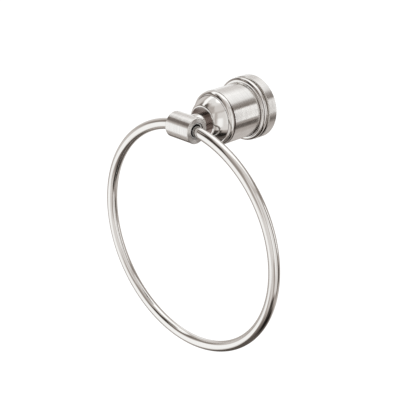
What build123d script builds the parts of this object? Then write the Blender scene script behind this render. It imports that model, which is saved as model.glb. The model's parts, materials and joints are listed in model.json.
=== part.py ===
"""Wall towel ring: a turned post on a round wall flange, with a cross barrel that a hoop swings in.

The frame's origin is the centre of the back of the wall bracket. The wall is the XZ plane, the post
runs out from it along -Y, +Z is up, and the hoop hangs in a plane parallel to the wall.
"""

import os
from math import asin, degrees, sqrt

from build123d import *

# Hoop: a round rod bent to an open circle, with its two ends inside the cross barrel
ring_outer_d = 165.4
rod_d = 7.4
rod_end_round = 0.6
rod_end_gap = 0.6  # from each end of the rod to the wall in the middle of the cross barrel

# Cross barrel and its two plastic bushes
holder_d = 17.3
holder_length = 20.6
holder_edge = 0.5
holder_web = 2.8  # solid wall between the two bushes
mouth_chamfer = 0.3
bush_recess = 0.9  # from the barrel's end face back to the bush
bush_wall = 1.0
bush_lead_in = 0.3
bush_fit = 0.02  # between a bush and its seat, radially
swing_gap = 0.2  # least room between the rod and its bush

# Stem that joins the cross barrel to the post, and its keyed tail
stem_d = 13.4
stem_show = 6.0  # length that shows between the post and the cross barrel
stem_flare = 1.0
tail_d = 10.0
tail_flats = 8.0
tail_length = 6.0
tail_fit = 0.05

# Post: barrel, round shoulder and dome with a flat face, turned in one piece and bored from the back
barrel_d = 37.0
barrel_length = 24.1
barrel_edge = 0.3
foot_land = 0.2  # edge of the barrel's foot, which stands on the flange
foot_step = 0.55
foot_cove = 0.5
quirk_width = 0.3  # fine groove behind the shoulder
quirk_depth = 0.5
shoulder_round = 3.4
shoulder_length = 3.6
shoulder_crest = 0.3  # from the back of the shoulder out to its crest
shoulder_drop = 0.2  # from the barrel's radius in to the crest
dome_length = 8.5
dome_bulge = 0.47
face_d = 21.7
face_round = 1.7
front_wall = 12.0  # solid metal behind the face
spigot_step = 2.2
spigot_fit = 0.02
post_wall = 3.0

# Wall flange: a cup with a half-round bead on its front
flange_d = 43.8
flange_depth = 6.8
flange_edge = 1.0
flange_wall = 3.4
cavity_depth = 5.2
groove_depth = 1.7  # from the flange's rim in to the floor of the groove behind the bead
bead_gap = 0.3  # from the front of the flange to the back of the bead's half round
bead_d = 4.9
bead_drop = 0.2  # from the flange's rim in to the crest of the bead

# Wall bracket: a round plate with a rim that leans out from the wall, so that the set screw draws it in
bracket_thickness = 4.0
bracket_lean = 1.4
bracket_gap = 0.6
wall_screw_pitch = 20.0
wall_screw_hole_d = 4.8
wall_screw_head_d = 9.2
wall_screw_countersink = 82

# Set screw under the flange
set_screw_d = 4.0
set_screw_axis = 2.4  # from the wall
set_screw_inset = 0.3
set_screw_point = 1.0
set_screw_socket = 2.0  # across the flats
set_screw_socket_depth = 2.0
set_screw_gap = 0.05
thread_fit = 0.05

# Screw and split washer that pull the stem's tail into the post from behind
holder_screw_d = 5.0
holder_screw_reach = 12.0  # depth of the thread in the stem
holder_screw_tip = 0.8  # free depth beyond the screw
holder_screw_play = 0.3
holder_head_d = 9.4
holder_head_height = 3.0
holder_head_round = 0.8
cross_width = 1.3
cross_length = 5.0
cross_depth = 1.7
washer_play = 0.2
washer_wall = 1.7
washer_thickness = 1.2
washer_split = 0.9

# Places along the post, measured out from the wall
bead_middle = flange_depth + bead_gap + bead_d / 2
bead_front = bead_middle + bead_d / 2
foot_front = bead_front + foot_land
barrel_front = bead_front + barrel_length
shoulder_back = barrel_front + quirk_width
shoulder_middle = shoulder_back + shoulder_crest
shoulder_front = shoulder_back + shoulder_length
post_face = shoulder_front + dome_length
tail_back = post_face - tail_length
bore_floor = post_face - front_wall
hinge_reach = post_face + stem_show + holder_d / 2

# Radii about the post's axis
flange_r = flange_d / 2
cavity_r = flange_r - flange_wall
groove_r = flange_r - groove_depth
bead_crest_r = flange_r - bead_drop
bead_centre_r = bead_crest_r - bead_d / 2
barrel_r = barrel_d / 2
foot_r = barrel_r + foot_step
spigot_r = barrel_r - spigot_step
bore_r = spigot_r - post_wall
quirk_r = barrel_r - quirk_depth
shoulder_crest_r = barrel_r - shoulder_drop
shoulder_centre_r = shoulder_crest_r - shoulder_round
shoulder_back_r = shoulder_centre_r + sqrt(shoulder_round**2 - shoulder_crest**2)
dome_foot_r = shoulder_centre_r + sqrt(shoulder_round**2 - (shoulder_length - shoulder_crest) ** 2)
bracket_r = cavity_r - bracket_gap

# Where the bead rises from the floor of its groove, measured out from the wall
bead_back = bead_middle - sqrt((bead_d / 2) ** 2 - (groove_r - bead_centre_r) ** 2)

# The rod bows a little inside the straight bushes: half of the bow lies above the hinge axis, half below
rod_r = rod_d / 2
ring_r = (ring_outer_d - rod_d) / 2
bush_inner_end = holder_web / 2
bush_outer_end = holder_length / 2 - bush_recess
rod_bow = (ring_r - sqrt(ring_r**2 - bush_outer_end**2)) / 2
bush_bore_r = rod_r + rod_bow + swing_gap
bush_r = bush_bore_r + bush_wall
bush_seat_r = bush_r + bush_fit
rod_end_angle = degrees(asin((bush_inner_end + rod_end_gap) / ring_r))

# Section plane of the turned pieces: local x is the distance from the wall, local y the radius
turning = Plane(origin=(0, 0, 0), x_dir=(0, -1, 0), z_dir=(-1, 0, 0))
# Edges this close to a distance from the wall count as lying at it
edge_search = 0.001


def facing_room(distance):
    """Plane parallel to the wall at this distance from it, facing the room."""
    return Plane.XZ.offset(distance)


def across_barrel(x):
    """Plane square to the hinge axis at x, centred on the axis and facing +X."""
    return Plane(origin=(x, -hinge_reach, 0), x_dir=(0, 1, 0), z_dir=(1, 0, 0))


def circles_at(part, distance):
    """Round edges of a turned part at this distance from the wall, smallest first."""
    edges = part.edges().filter_by(GeomType.CIRCLE)
    found = edges.filter_by_position(Axis.Y, -distance - edge_search, -distance + edge_search)
    return found.sort_by(SortBy.RADIUS)


def write(part, name):
    """Label a finished piece and write it to its own file."""
    part.label = name
    export_step(part, f"parts/{name}.step")


os.makedirs("parts", exist_ok=True)

# Wall bracket
with BuildPart() as wall_bracket:
    with BuildSketch(turning):
        with BuildLine():
            Polyline(
                (0, 0),
                (0, bracket_r - bracket_lean),
                (bracket_thickness, bracket_r),
                (bracket_thickness, 0),
                close=True,
            )
        make_face()
    revolve(axis=Axis.Y)
    with Locations(facing_room(bracket_thickness)):
        with GridLocations(0, wall_screw_pitch, 1, 2):
            CounterSinkHole(
                radius=wall_screw_hole_d / 2,
                counter_sink_radius=wall_screw_head_d / 2,
                counter_sink_angle=wall_screw_countersink,
            )
write(wall_bracket.part, "wall_bracket")

# Wall flange
with BuildPart() as flange:
    with BuildSketch(turning):
        with BuildLine():
            Polyline(
                (0, flange_r),
                (flange_depth, flange_r),
                (flange_depth, groove_r),
                (bead_back, groove_r),
            )
            ThreePointArc(
                (bead_back, groove_r),
                (bead_middle, bead_crest_r),
                (bead_front, bead_centre_r),
            )
            Polyline(
                (bead_front, bead_centre_r),
                (bead_front, spigot_r + spigot_fit),
                (cavity_depth, spigot_r + spigot_fit),
                (cavity_depth, cavity_r),
                (0, cavity_r),
                (0, flange_r),
            )
        make_face()
    revolve(axis=Axis.Y)
    fillet(circles_at(flange, flange_depth)[-1], flange_edge)
    under_rim = Plane(origin=(0, -set_screw_axis, -flange_r), z_dir=(0, 0, -1))
    with Locations(under_rim):
        Hole(radius=set_screw_d / 2 + thread_fit, depth=2 * flange_wall)
write(flange.part, "flange")

# Set screw: a hexagon socket outside and a cone point against the leaning rim of the bracket
point_reach = set_screw_axis + set_screw_d / 2 - set_screw_point
point_r = bracket_r - bracket_lean * (1 - point_reach / bracket_thickness) + set_screw_gap
set_screw_length = flange_r - set_screw_inset - point_r
with BuildPart() as set_screw:
    with BuildSketch(Plane(origin=(0, -set_screw_axis, -flange_r + set_screw_inset))):
        Circle(set_screw_d / 2)
    extrude(amount=set_screw_length)
    chamfer(set_screw.edges().group_by(Axis.Z)[-1], set_screw_point)
    with BuildSketch(set_screw.faces().sort_by(Axis.Z)[0]):
        RegularPolygon(radius=set_screw_socket / 2, side_count=6, major_radius=False)
    extrude(amount=-set_screw_socket_depth, mode=Mode.SUBTRACT)
write(set_screw.part, "set_screw")

# Post
with BuildPart() as post:
    with BuildSketch(turning):
        with BuildLine():
            Polyline(
                (cavity_depth, bore_r),
                (cavity_depth, spigot_r),
                (bead_front, spigot_r),
                (bead_front, foot_r),
                (foot_front, foot_r),
                (foot_front, barrel_r),
                (barrel_front, barrel_r),
                (barrel_front, quirk_r),
                (shoulder_back, quirk_r),
                (shoulder_back, shoulder_back_r),
            )
            ThreePointArc(
                (shoulder_back, shoulder_back_r),
                (shoulder_middle, shoulder_crest_r),
                (shoulder_front, dome_foot_r),
            )
            SagittaArc((shoulder_front, dome_foot_r), (post_face, face_d / 2), dome_bulge)
            Polyline(
                (post_face, face_d / 2),
                (post_face, 0),
                (bore_floor, 0),
                (bore_floor, bore_r),
                (cavity_depth, bore_r),
            )
        make_face()
    revolve(axis=Axis.Y)
    fillet(circles_at(post, foot_front)[0], foot_cove)
    fillet(circles_at(post, barrel_front)[-1], barrel_edge)
    fillet(circles_at(post, post_face), face_round)
    with BuildSketch(facing_room(post_face)):
        Circle(tail_d / 2 + tail_fit)
        Rectangle(tail_d * 2, tail_flats + 2 * tail_fit, mode=Mode.INTERSECT)
    extrude(amount=-tail_length, mode=Mode.SUBTRACT)
    with Locations(facing_room(tail_back)):
        Hole(radius=holder_screw_d / 2 + holder_screw_play, depth=tail_back - bore_floor)
write(post.part, "post")

# Cross barrel with its stem and keyed tail
with BuildPart() as ring_holder:
    with BuildSketch(across_barrel(-holder_length / 2)):
        Circle(holder_d / 2)
    extrude(amount=holder_length)
    end_edges = ring_holder.edges().filter_by(GeomType.CIRCLE)
    fillet(end_edges, holder_edge)
    with BuildSketch(facing_room(post_face)):
        Circle(stem_d / 2)
    extrude(amount=hinge_reach - post_face)
    stem_root = ring_holder.edges().filter_by(GeomType.BSPLINE)
    fillet(stem_root, stem_flare)
    with BuildSketch(facing_room(post_face)):
        Circle(tail_d / 2)
        Rectangle(tail_d * 2, tail_flats, mode=Mode.INTERSECT)
    extrude(amount=-tail_length)
    with Locations(facing_room(tail_back)):
        Hole(radius=holder_screw_d / 2 + thread_fit, depth=holder_screw_reach)
    for side in (-1, 1):
        with BuildSketch(across_barrel(side * bush_inner_end)):
            Circle(bush_seat_r)
        extrude(amount=side * holder_length, mode=Mode.SUBTRACT)
        mouth = ring_holder.edges().filter_by(GeomType.CIRCLE).group_by(Axis.X)[0 if side < 0 else -1]
        chamfer(mouth.sort_by(SortBy.RADIUS)[0], mouth_chamfer)
write(ring_holder.part, "ring_holder")

# Plastic bushes, one pressed into each end of the cross barrel
for side, name in ((-1, "left_bush"), (1, "right_bush")):
    with BuildPart() as bush:
        with BuildSketch(across_barrel(side * bush_inner_end)):
            Circle(bush_r)
            Circle(bush_bore_r, mode=Mode.SUBTRACT)
        extrude(amount=side * (bush_outer_end - bush_inner_end))
        outer_end = bush.edges().filter_by(GeomType.CIRCLE).group_by(Axis.X)[0 if side < 0 else -1]
        chamfer(outer_end.sort_by(SortBy.RADIUS)[0], bush_lead_in)
    write(bush.part, name)

# Hoop
with BuildPart() as ring:
    with BuildLine(facing_room(hinge_reach)) as hoop:
        CenterArc((0, rod_bow - ring_r), ring_r, 90 + rod_end_angle, 360 - 2 * rod_end_angle)
    with BuildSketch(hoop.line ^ 0):
        Circle(rod_r)
    sweep()
    end_faces = ring.faces().filter_by(GeomType.PLANE)
    fillet(end_faces.edges(), rod_end_round)
write(ring.part, "ring")

# Split washer under the head of the holder screw
washer_back = bore_floor - washer_thickness
washer_bore_r = holder_screw_d / 2 + washer_play
with BuildPart() as split_washer:
    with BuildSketch(facing_room(washer_back)):
        Circle(washer_bore_r + washer_wall)
        Circle(washer_bore_r, mode=Mode.SUBTRACT)
        with Locations((washer_bore_r + washer_wall, 0)):
            Rectangle(2 * washer_wall + washer_play, washer_split, mode=Mode.SUBTRACT)
    extrude(amount=washer_thickness)
write(split_washer.part, "split_washer")

# Screw that holds the stem, driven from inside the post
with BuildPart() as holder_screw:
    with BuildSketch(facing_room(washer_back - holder_head_height)):
        Circle(holder_head_d / 2)
    extrude(amount=holder_head_height)
    fillet(circles_at(holder_screw, washer_back - holder_head_height), holder_head_round)
    with BuildSketch(facing_room(washer_back)):
        Circle(holder_screw_d / 2)
    extrude(amount=tail_back + holder_screw_reach - holder_screw_tip - washer_back)
    with BuildSketch(facing_room(washer_back - holder_head_height)):
        Rectangle(cross_length, cross_width)
        Rectangle(cross_width, cross_length)
    extrude(amount=cross_depth, mode=Mode.SUBTRACT)
write(holder_screw.part, "holder_screw")
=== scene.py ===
"""Brushed nickel towel ring: surfaces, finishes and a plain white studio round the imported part.

Turned pieces are sections carried round an axis. A section is a list of stretches in the plane of
distance along the axis and radius, walked so that the metal lies on the right of the path.
"""

import json
from collections import namedtuple
from math import acos, asin, atan2, cos, hypot, pi, radians, sin, sqrt, tan

import bpy
import numpy as np
from bpy.props import FloatProperty, FloatVectorProperty, IntProperty, PointerProperty
from bpy.types import NodeSocket, Operator, Panel, PropertyGroup
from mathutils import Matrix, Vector


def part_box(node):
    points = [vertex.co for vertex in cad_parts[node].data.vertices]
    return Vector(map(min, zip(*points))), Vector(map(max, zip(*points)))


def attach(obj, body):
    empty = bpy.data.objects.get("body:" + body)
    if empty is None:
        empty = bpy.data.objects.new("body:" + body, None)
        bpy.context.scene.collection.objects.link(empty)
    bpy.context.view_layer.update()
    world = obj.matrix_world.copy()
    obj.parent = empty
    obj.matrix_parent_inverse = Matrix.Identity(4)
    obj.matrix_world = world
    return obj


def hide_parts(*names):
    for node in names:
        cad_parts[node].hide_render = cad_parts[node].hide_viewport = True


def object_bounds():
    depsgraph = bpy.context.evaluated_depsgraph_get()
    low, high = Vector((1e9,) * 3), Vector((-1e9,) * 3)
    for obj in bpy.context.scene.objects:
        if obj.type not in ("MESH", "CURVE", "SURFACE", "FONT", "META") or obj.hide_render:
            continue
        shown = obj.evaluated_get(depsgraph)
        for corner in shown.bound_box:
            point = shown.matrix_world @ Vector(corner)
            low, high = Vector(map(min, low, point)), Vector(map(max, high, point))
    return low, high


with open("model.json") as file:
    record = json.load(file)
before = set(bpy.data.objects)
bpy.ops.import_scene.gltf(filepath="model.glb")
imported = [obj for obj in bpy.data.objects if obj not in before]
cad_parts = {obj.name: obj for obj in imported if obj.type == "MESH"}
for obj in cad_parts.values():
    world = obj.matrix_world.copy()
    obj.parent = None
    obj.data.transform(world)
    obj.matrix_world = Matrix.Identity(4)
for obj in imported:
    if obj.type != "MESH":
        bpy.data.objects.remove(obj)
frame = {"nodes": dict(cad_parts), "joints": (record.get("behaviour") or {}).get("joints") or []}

bl_info = {
    "name": "Towel Ring Finish",
    "version": (1, 0, 0),
    "blender": (4, 5, 0),
    "location": "View3D > Sidebar > Towel Ring",
    "description": "Builds the surfaces, finishes and studio of a wall towel ring",
    "category": "Object",
}

CAD_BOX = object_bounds()
HINGE_REACH = -frame["joints"][0]["pos_m"][1]
UV_NAME = "brush"
# Points that are nearer than this are welded into one
WELD = 2e-7
# Room for rounding errors in lengths and angles
TINY = 1e-9
# The underside's turn round the post
UNDER = -pi / 2

Patch = namedtuple("Patch", "points normals uv finish")
Seat = namedtuple("Seat", "origin axis side up")
POST_SEAT = Seat(np.zeros(3), np.array([0.0, -1, 0]), np.array([1.0, 0, 0]), np.array([0.0, 0, 1]))
HINGE_SEAT = Seat(
    np.array([0.0, -HINGE_REACH, 0]), np.array([1.0, 0, 0]), np.array([0.0, 1, 0]), np.array([0.0, 0, 1])
)

# How nickel is worked: spread of its roughness, stretch of its highlights, lines in a metre and their depth
Work = namedtuple("Work", "spread stretch lines depth")
BRUSHED = Work(spread=0.05, stretch=0.8, lines=3500.0, depth=8e-7)
TURNED = Work(spread=0.06, stretch=0.9, lines=3500.0, depth=8e-7)
POLISHED = Work(spread=0.015, stretch=0.0, lines=5000.0, depth=5e-8)
SATIN = Work(spread=0.02, stretch=0.0, lines=3000.0, depth=5e-8)
SHADED = Work(spread=0.05, stretch=0.5, lines=5000.0, depth=4e-7)
# Streaks of polished and satin nickel, as a share of its colour
SOFT_STREAK = 0.96

# How a coat looks: its share of metal, its roughness and the spread of that, and its grains in a metre
Coat = namedtuple("Coat", "metallic roughness spread grain")
MOULDED = Coat(metallic=0.0, roughness=0.45, spread=0.08, grain=400.0)
PLATED = Coat(metallic=1.0, roughness=0.38, spread=0.08, grain=180.0)
BLACKENED = Coat(metallic=0.6, roughness=0.42, spread=0.08, grain=500.0)
# Darker mottles of a coat as a share of its colour, and the strength and depth of its grain
COAT_MOTTLE = 0.82
COAT_RELIEF = 0.6
COAT_DEPTH = 2e-5

# The middle of a noise texture, where nearly all of its values lie
NOISE_LOW, NOISE_HIGH = 0.3, 0.7

FINISHES = {}


def length(name, description, default):
    """A length in metres."""
    return FloatProperty(
        name=name, description=description, default=default, precision=5, unit="LENGTH", subtype="DISTANCE"
    )


def angle(name, description, default):
    """An angle, given here in degrees."""
    return FloatProperty(name=name, description=description, default=radians(default), subtype="ANGLE")


def amount(name, description, default):
    """A share from 0 to 1."""
    return FloatProperty(
        name=name, description=description, default=default, min=0.0, max=1.0, subtype="FACTOR"
    )


def optic(name, description, default):
    """A camera's measure in millimetres."""
    return FloatProperty(name=name, description=description, default=default, unit="CAMERA")


def count(name, description, default):
    """A number of steps in a mesh."""
    return IntProperty(name=name, description=description, default=default)


def colour(name, description, default):
    """A linear colour."""
    return FloatVectorProperty(
        name=name, description=description, default=default, size=3, min=0.0, max=1.0, subtype="COLOR"
    )


def heights(name, description, default):
    """Two heights over the post's axis in metres."""
    return FloatVectorProperty(
        name=name, description=description, default=default, size=2, precision=5, unit="LENGTH"
    )


def node_size(node, axis):
    """A CAD node's size along one axis."""
    low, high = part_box(node)
    return high[axis] - low[axis]


class HoopSettings(PropertyGroup):
    """Sizes of the hoop"""

    rod_radius: length("Rod radius", "Half the thickness of the rod", node_size("ring", 1) / 2)
    outer_radius: length("Outer radius", "From the hoop's centre to its outside", node_size("ring", 0) / 2)
    end_gap: length("End gap", "From the middle of the cross barrel to each end of the rod", 0.0020)
    end_round: length("End rounding", "Radius of the rod's end edges", 0.0006)
    steps_round_hoop: count("Steps round the hoop", "Sections along the rod", 560)
    steps_round_rod: count("Steps round the rod", "Points in one section", 56)


class FlangeSettings(PropertyGroup):
    """Sizes of the wall flange"""

    radius: length("Radius", "Outside of the flange's plain wall", node_size("flange", 0) / 2)
    depth: length("Depth", "From the wall to the front of the plain part", 0.0068)
    edge: length("Edge", "Rounding of the front edge", 0.0003)
    wall: length("Wall", "Thickness of the cup's side wall", 0.0034)
    cavity_depth: length("Cavity depth", "Depth of the cup behind", 0.0052)
    groove_depth: length("Groove depth", "From the rim's radius in to the groove behind the bead", 0.0017)
    bead: length("Bead", "Diameter of the half-round bead", 0.0049)
    bead_drop: length("Bead drop", "From the rim's radius in to the crest of the bead", 0.0002)
    # Painted shade: a fine dark line painted round the bead's smooth surface; no groove is cut there
    painted_line_at: angle("Line at", "Where the turned line runs, round the bead from its front", 51)
    line_width: length("Line width", "Width of the fine turned line on the bead", 0.0005)
    # Painted shade: from here on the bead's front next to the barrel is painted dark nickel
    hollow_shade_at: angle("Hollow at", "Where the hollow beside the barrel begins, from the bead's front", 14)
    spigot_fit: length("Spigot fit", "Room round the post's spigot", 0.00002)
    screw_axis: length("Set screw axis", "From the wall to the set screw", 0.0024)
    screw_hole: length("Set screw hole", "Radius of the threaded hole", 0.00205)


class PostSettings(PropertyGroup):
    """Sizes of the post"""

    barrel_length: length("Barrel length", "Length of the brushed barrel", 0.0241)
    barrel_edge: length("Barrel edge", "Rounding of the barrel's front edge", 0.0003)
    foot_land: length("Foot land", "Thickness of the edge of the barrel's foot", 0.0002)
    foot_step: length("Foot step", "From the barrel's radius out to the edge of its foot", 0.00055)
    foot_cove: length("Foot cove", "Radius of the hollow between the barrel and its foot", 0.0005)
    quirk_width: length("Quirk width", "Fine groove behind the shoulder", 0.0003)
    quirk_depth: length("Quirk depth", "From the barrel's radius in to the floor of that groove", 0.0005)
    quirk_shade: length("Quirk shade", "How far the fine groove's shade reaches up the shoulder", 0.0004)
    shoulder_round: length("Shoulder rounding", "Radius of the shoulder", 0.0034)
    shoulder_length: length("Shoulder length", "Length of the shoulder along the post", 0.0036)
    shoulder_crest: length("Shoulder crest", "From the back of the shoulder out to its crest", 0.0003)
    shoulder_drop: length("Shoulder drop", "From the barrel's radius in to the shoulder's crest", 0.0002)
    # Painted shade: a fine dark line painted on the shoulder where it meets the dome
    line_width: length("Line width", "Width of the fine line between the shoulder and the dome", 0.00035)
    dome_bulge: length("Dome bulge", "Height of the dome's arc over its chord", 0.00047)
    face_radius: length("Face radius", "Radius of the flat face before its edge is rounded", 0.01085)
    face_round: length("Face rounding", "Radius of the face's edge", 0.0017)
    front_wall: length("Front wall", "Solid metal behind the face", 0.0120)
    spigot_step: length("Spigot step", "From the barrel's radius down to the spigot", 0.0022)
    wall: length("Wall", "Thickness of the spigot's wall", 0.0030)
    screw_hole: length("Screw hole", "Radius of the hole for the holder screw", 0.0028)
    key_fit: length("Key fit", "Room round the stem's keyed tail", 0.00005)


class HolderSettings(PropertyGroup):
    """Sizes of the cross barrel and its stem"""

    edge: length("Edge", "Rounding of the cross barrel's ends", 0.0005)
    mouth: length("Mouth chamfer", "Chamfer at the mouth of each bore", 0.0003)
    seat_fit: length("Seat fit", "Room round each bush", 0.00002)
    stem_radius: length("Stem radius", "Radius of the stem", 0.0067)
    stem_flare: length("Stem flare", "Radius of the hollow where the stem meets the barrel", 0.0010)
    tail_radius: length("Tail radius", "Round part of the keyed tail", 0.0050)
    tail_flat: length("Tail flat", "From the axis to each flat of the tail", 0.0040)
    thread_hole: length("Threaded hole", "Radius of the hole for the holder screw", 0.00255)
    thread_depth: length("Thread depth", "Depth of the threaded hole", 0.0120)


class BushSettings(PropertyGroup):
    """Sizes of the bushes"""

    wall: length("Wall", "Thickness of the bush", 0.0010)
    edge: length("Edge", "Rounding of the outer end's edge", 0.0002)
    lead_in: length("Lead-in", "Chamfer inside the outer end", 0.0003)


class FinishSettings(PropertyGroup):
    """Colours and roughness of the finishes"""

    nickel: colour("Nickel", "Colour of the nickel", (0.83, 0.82, 0.80))
    nickel_streak: colour("Streak", "Colour of the darker brush lines", (0.72, 0.71, 0.695))
    # Painted shade: dark nickel laid on the flat face round the stem; it is also the streak colour of the
    # other painted shades
    painted_shade: colour("Recess", "Colour of the nickel where light dies away", (0.22, 0.175, 0.16))
    # Painted shade: near-black nickel for the painted dark lines on the bead and the shoulder, in the
    # flange's groove and at the bores' mouths
    line: colour("Line", "Colour of the nickel deep in the fine turned lines", (0.06, 0.05, 0.046))
    # Painted light: over each pair of heights a painted shade fades from dark to the nickel's own colour,
    # lighter towards the top, and for the bead's hollows lighter again near the bottom
    recess_lit: heights("Recess lit", "Heights between which light from above fills the face", (0.006, 0.019))
    quirk_lit: heights("Quirk lit", "Heights between which it fills the fine groove", (0.010, 0.015))
    hollow_lit: heights("Hollow lit", "Heights between which it fills the bead's hollows", (-0.011, -0.004))
    hollow_floor_lit: heights("Floor lit", "Heights between which the floor lights them", (-0.016, -0.018))
    brushed: amount("Brushed roughness", "Roughness of brushed metal", 0.18)
    cup: amount("Cup roughness", "Roughness of the flange's brushed wall", 0.24)
    turned: amount("Turned roughness", "Roughness of faces as the lathe leaves them", 0.36)
    polished: amount("Polished roughness", "Roughness of the bead, the shoulder and the dome", 0.10)
    satin: amount("Satin roughness", "Roughness of the hoop", 0.08)
    nylon: colour("Nylon", "Colour of the bushes", (0.82, 0.81, 0.79))
    # Painted shade: near-black nylon laid on the bushes' lead-in and bore, next to the rod
    nylon_shade: colour("Nylon shade", "Colour of the bushes close to the rod", (0.05, 0.045, 0.04))
    zinc: colour("Zinc", "Colour of the plated steel", (0.62, 0.63, 0.62))
    black: colour("Black oxide", "Colour of the set screw", (0.045, 0.043, 0.042))


class StudioSettings(PropertyGroup):
    """Camera, floor and light tent"""

    camera_place: FloatVectorProperty(
        name="Camera", description="Where the camera stands", default=(0.405424, -0.446272, 0.197877),
        size=3, unit="LENGTH", subtype="XYZ",
    )
    azimuth: angle("Azimuth", "Camera's turn round the object", 45.679)
    elevation: angle("Elevation", "Camera's height angle", 24.062)
    lens: optic("Lens", "Focal length", 82.643)
    sensor: optic("Sensor", "Width of the sensor", 36.0)
    floor_drop: length("Floor drop", "From the bottom of the hoop down to the floor", 1.1)
    floor_reach: length("Floor reach", "From the middle of the floor to its sides", 9.0)
    floor_grey: amount("Floor grey", "Share of the light that the floor gives back", 0.3)
    floor_glow: amount("Floor glow", "Light of the floor's own, where it is seen", 0.8)
    tent_radius: length("Tent radius", "From the object to the light tent", 1.1)
    white: colour("White", "Colour of the floor and the backdrop", (1.0, 1.0, 1.0))
    shade: colour("Shade", "Tint of the dark parts of the tent", (1.0, 0.83, 0.725))


class TowelRingSettings(PropertyGroup):
    """Everything that can be set on the towel ring"""

    steps_round: count("Steps round", "Points round a turned piece", 288)
    hoop: PointerProperty(type=HoopSettings, name="Hoop")
    flange: PointerProperty(type=FlangeSettings, name="Flange")
    post: PointerProperty(type=PostSettings, name="Post")
    holder: PointerProperty(type=HolderSettings, name="Cross barrel")
    bush: PointerProperty(type=BushSettings, name="Bushes")
    finish: PointerProperty(type=FinishSettings, name="Finishes")
    studio: PointerProperty(type=StudioSettings, name="Studio")


# Sections: stretches of points and normals in the plane of distance and radius

def with_normals(points, tangents):
    """A stretch's normals lie to the left of its tangents."""
    normals = np.stack((-tangents[:, 1], tangents[:, 0]), -1)
    return points, normals / np.linalg.norm(normals, axis=1, keepdims=True)


def line(start, end, steps=1):
    """Straight stretch: P(t) = start + t (end - start)."""
    t = np.linspace(0, 1, steps + 1)[:, None]
    start, end = np.array(start, float), np.array(end, float)
    return with_normals(start + t * (end - start), np.repeat((end - start)[None], steps + 1, 0))


def arc(centre, radius, start, end, steps=16):
    """Round stretch: P(a) = centre + radius (cos a, sin a), from angle start to angle end."""
    a = np.linspace(start, end, steps + 1)
    way = np.sign(end - start)
    points = np.array(centre) + radius * np.stack((np.cos(a), np.sin(a)), -1)
    return with_normals(points, way * np.stack((-np.sin(a), np.cos(a)), -1))


def arcs(centre, radius, marks, steps):
    """Round stretches on one circle, from each angle of marks to the next."""
    return [arc(centre, radius, start, end, steps) for start, end in zip(marks, marks[1:])]


def nosed_dome(start, end, bulge, nose, steps=36):
    """Dome from start towards end and the round that joins it to the flat face at end's distance.

    The dome rises by bulge over the middle of its chord. The round, of radius nose, touches the dome from
    inside and the face from behind.
    """
    (w0, r0), (w1, r1) = start, end
    chord = hypot(w1 - w0, r1 - r0)
    radius = chord**2 / (8 * bulge) + bulge / 2
    sink = radius - bulge
    w = (w0 + w1) / 2 + (r1 - r0) / chord * sink
    r = (r0 + r1) / 2 - (w1 - w0) / chord * sink
    nose_w = w1 - nose
    nose_r = r + sqrt((radius - nose) ** 2 - (nose_w - w) ** 2)
    join = atan2(nose_r - r, nose_w - w)
    dome = arc((w, r), radius, atan2(r0 - r, w0 - w), join, steps)
    return [dome, arc((nose_w, nose_r), nose, join, 0, steps // 2)]


def path(corners, rounds=None, steps=1, round_steps=10):
    """Straight runs through the corners; rounds gives the radius of the arc that replaces a corner."""
    rounds = rounds or {}
    corners = [np.array(corner, float) for corner in corners]
    stretches = []
    start = corners[0]
    for i in range(1, len(corners)):
        corner = enter = leave = corners[i]
        bend = []
        if i in rounds:
            before = (corner - corners[i - 1]) / np.linalg.norm(corner - corners[i - 1])
            after = (corners[i + 1] - corner) / np.linalg.norm(corners[i + 1] - corner)
            turn = atan2(before[0] * after[1] - before[1] * after[0], before @ after)
            cut = rounds[i] * abs(tan(turn / 2))
            enter, leave = corner - cut * before, corner + cut * after
            inward = np.sign(turn) * np.array([-before[1], before[0]])
            centre = enter + rounds[i] * inward
            first = atan2(*(enter - centre)[::-1])
            bend = [arc(centre, rounds[i], first, first + turn, round_steps)]
        if np.linalg.norm(enter - start) > WELD:
            stretches.append(line(start, enter, steps))
        stretches += bend
        start = leave
    return stretches


def mirrored(stretches, end=0.0):
    """A chain in a mirror that swaps distance 0 with distance end, walked from its far side."""
    flip, start = np.array([-1, 1]), np.array([end, 0])
    return [(start + points[::-1] * flip, normals[::-1] * flip) for points, normals in stretches[::-1]]


# Patches: grids of points in space with their own normals

def full_circle(steps):
    """Angles once round, with the first point repeated at the end."""
    return np.linspace(0, 2 * pi, steps + 1)


def lift(seat, w, r, angles):
    """Points of a turned surface: P(w, r, t) = origin + w axis + r (cos t side + sin t up)."""
    w, r = np.broadcast_arrays(w, r)
    ring = np.cos(angles)[..., None] * seat.side + np.sin(angles)[..., None] * seat.up
    return seat.origin + w[..., None] * seat.axis + r[..., None] * ring


def lift_normals(seat, w, r, angles):
    """Directions on a turned surface, from their parts along the axis and along the radius."""
    return lift(seat._replace(origin=np.zeros(3)), w, r, angles)


def run_along(points, begin):
    """Distance walked along a stretch at each of its points, counted on from begin."""
    return begin + np.r_[0, np.cumsum(np.linalg.norm(np.diff(points, axis=0), axis=1))]


def turned(stretches, seat, angles, finish):
    """Carry a chain of stretches round the seat's axis.

    One map runs on through all of them, with u along the chain and v round the axis.
    """
    patches = []
    begin = 0.0
    for points, normals in stretches:
        along = run_along(points, begin)
        begin = along[-1]
        uv = np.stack(np.broadcast_arrays(along[:, None], angles / (2 * pi)), -1)
        t = np.broadcast_to(angles, uv.shape[:2])
        patches.append(
            Patch(
                lift(seat, points[:, :1], points[:, 1:], t),
                lift_normals(seat, normals[:, :1], normals[:, 1:], t),
                uv,
                finish,
            )
        )
    return patches


def turned_runs(runs, seat, angles):
    """Carry chains of stretches, each with its finish, round the seat's axis."""
    return [patch for stretches, finish in runs for patch in turned(stretches, seat, angles, finish)]


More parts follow.
